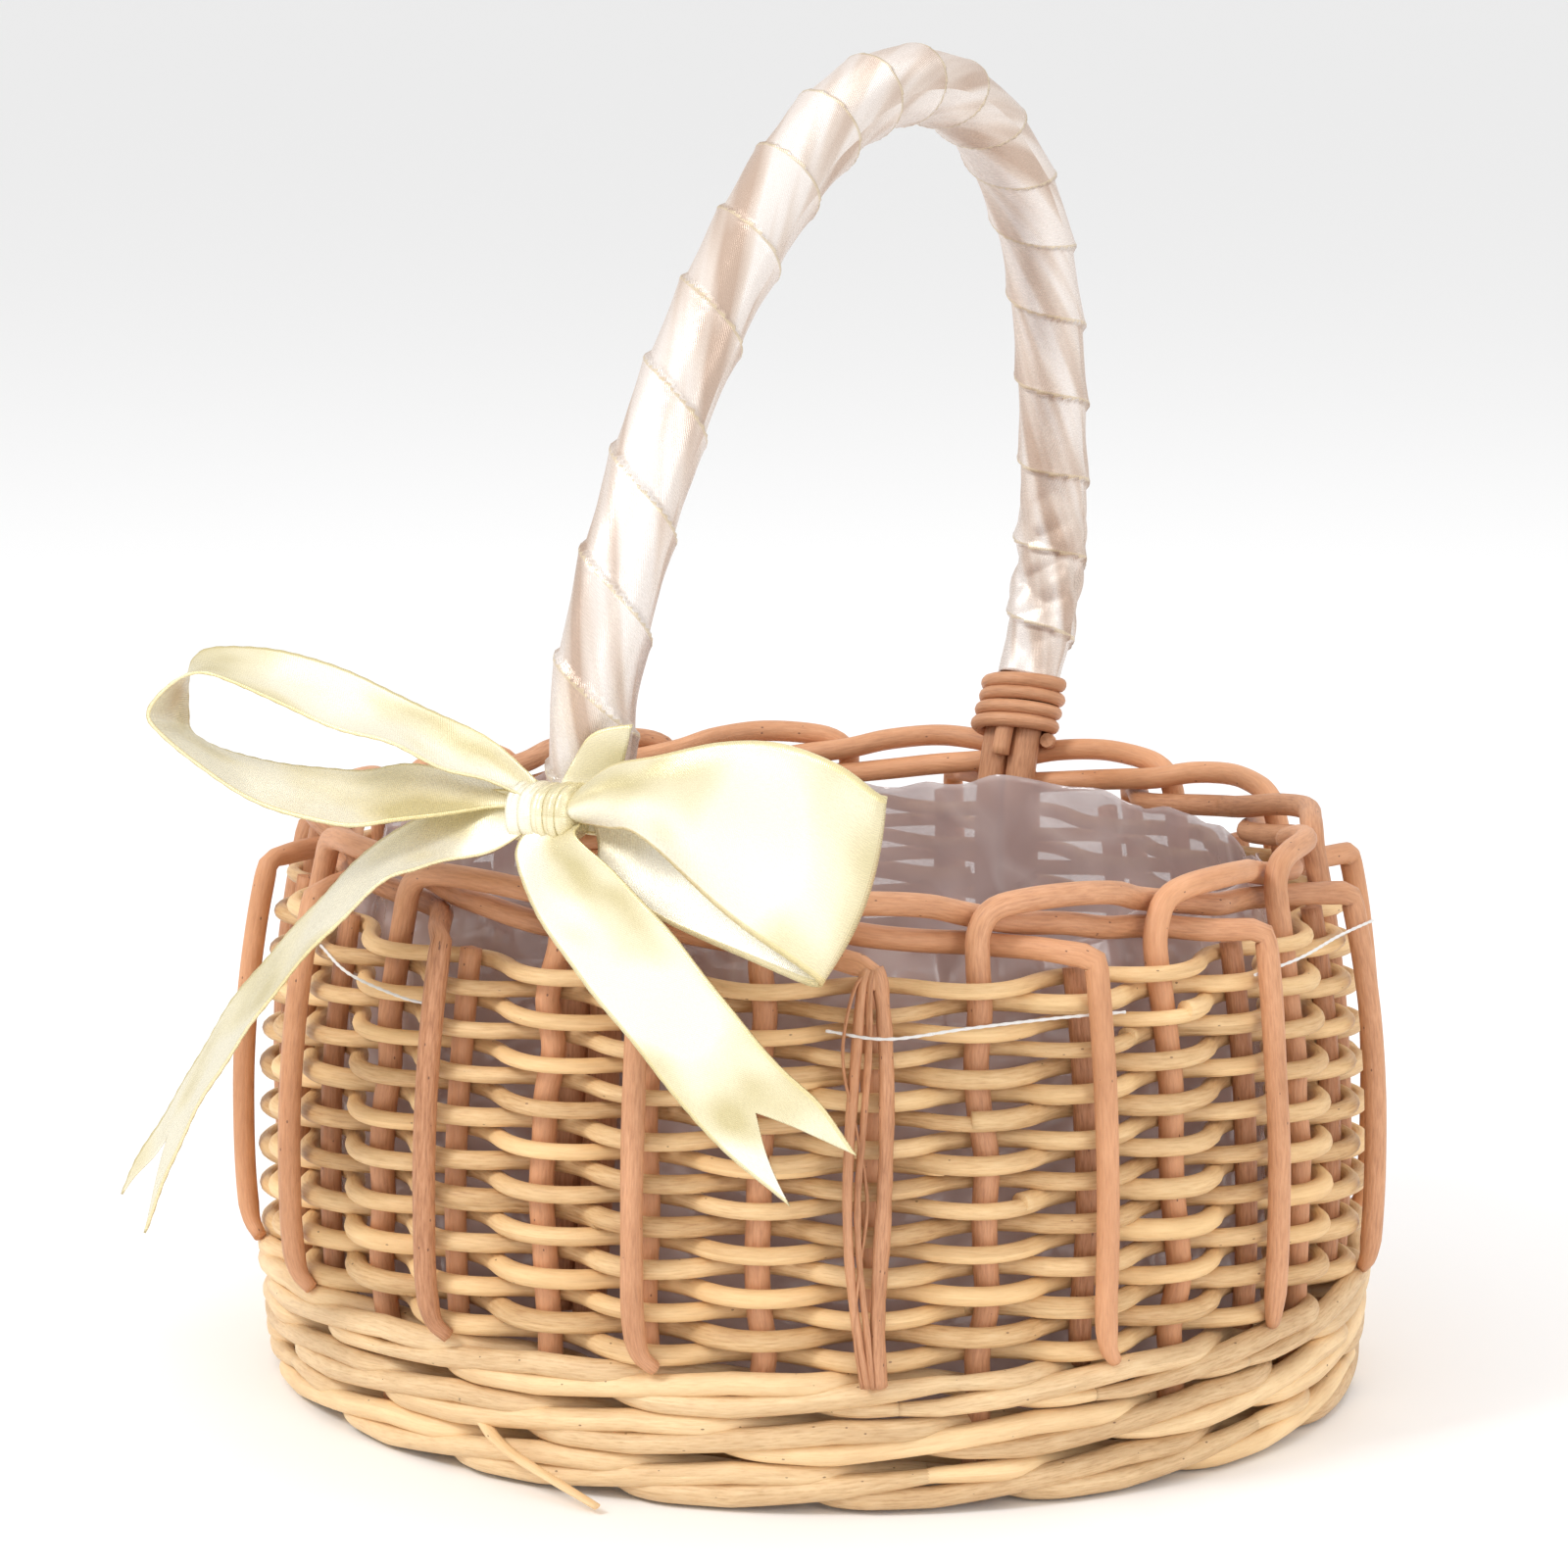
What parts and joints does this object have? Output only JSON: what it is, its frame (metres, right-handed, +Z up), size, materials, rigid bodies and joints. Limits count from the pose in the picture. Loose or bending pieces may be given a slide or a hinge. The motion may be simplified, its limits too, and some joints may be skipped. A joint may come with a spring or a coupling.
{
  "type": "flower girl basket",
  "caption": "Small oval woven willow basket with a satin-wrapped hoop handle, a ribbon bow at its foot and a clear film liner.",
  "frame": {"origin": "centre of the base's flat underside, on the surface that the basket stands on", "axes": "+Z up; the handle's plane is YZ, with the bowed foot at -Y; +X to the right when the bow faces the viewer"},
  "size_m": [0.2286, 0.2338, 0.2603],
  "materials": {
    "white_willow": "peeled willow, satin",
    "buff_willow": "boiled willow, satin",
    "wrap_satin": "satin ribbon",
    "bow_satin": "satin ribbon",
    "liner_film": "clear crinkled film",
    "thread": "spun thread"
  },
  "bodies": {
    "root": {"side_weaver_01": "white_willow", "side_weaver_02": "white_willow", "side_weaver_03": "white_willow", "side_weaver_04": "white_willow", "side_weaver_05": "white_willow", "side_weaver_06": "white_willow", "side_weaver_07": "white_willow", "side_weaver_08": "white_willow", "side_weaver_09": "white_willow", "side_weaver_10": "white_willow", "side_weaver_11": "white_willow", "side_weaver_12": "white_willow", "side_weaver_13": "white_willow", "side_weaver_14": "white_willow", "side_weaver_15": "white_willow", "side_weaver_16": "white_willow", "side_weaver_17": "white_willow", "side_weaver_18": "white_willow", "foot_weaver_1": "white_willow", "foot_weaver_2": "white_willow", "foot_weaver_3": "white_willow", "foot_weaver_4": "white_willow", "foot_weaver_5": "white_willow", "main_stake_01": "buff_willow", "main_stake_02": "buff_willow", "main_stake_03": "buff_willow", "main_stake_04": "buff_willow", "main_stake_05": "buff_willow", "main_stake_06": "buff_willow", "main_stake_07": "buff_willow", "main_stake_08": "buff_willow", "main_stake_09": "buff_willow", "main_stake_10": "buff_willow", "main_stake_11": "buff_willow", "main_stake_12": "buff_willow", "main_stake_13": "buff_willow", "main_stake_14": "buff_willow", "main_stake_15": "buff_willow", "main_stake_16": "buff_willow", "by_stakes": "buff_willow", "base_long_sticks": "buff_willow", "base_cross_sticks": "buff_willow", "hoop_rod_left": "buff_willow", "hoop_rod_right": "buff_willow", "packing_rods": "buff_willow", "binding_near": "buff_willow", "binding_far": "buff_willow", "base_weave": "white_willow", "satin_wrap": "wrap_satin", "bow_left_loop": "bow_satin", "bow_right_loop": "bow_satin", "bow_left_tail": "bow_satin", "bow_right_tail": "bow_satin", "bow_knot": "bow_satin", "liner": "liner_film", "liner_thread": "thread"}
  },
  "joints": []
}
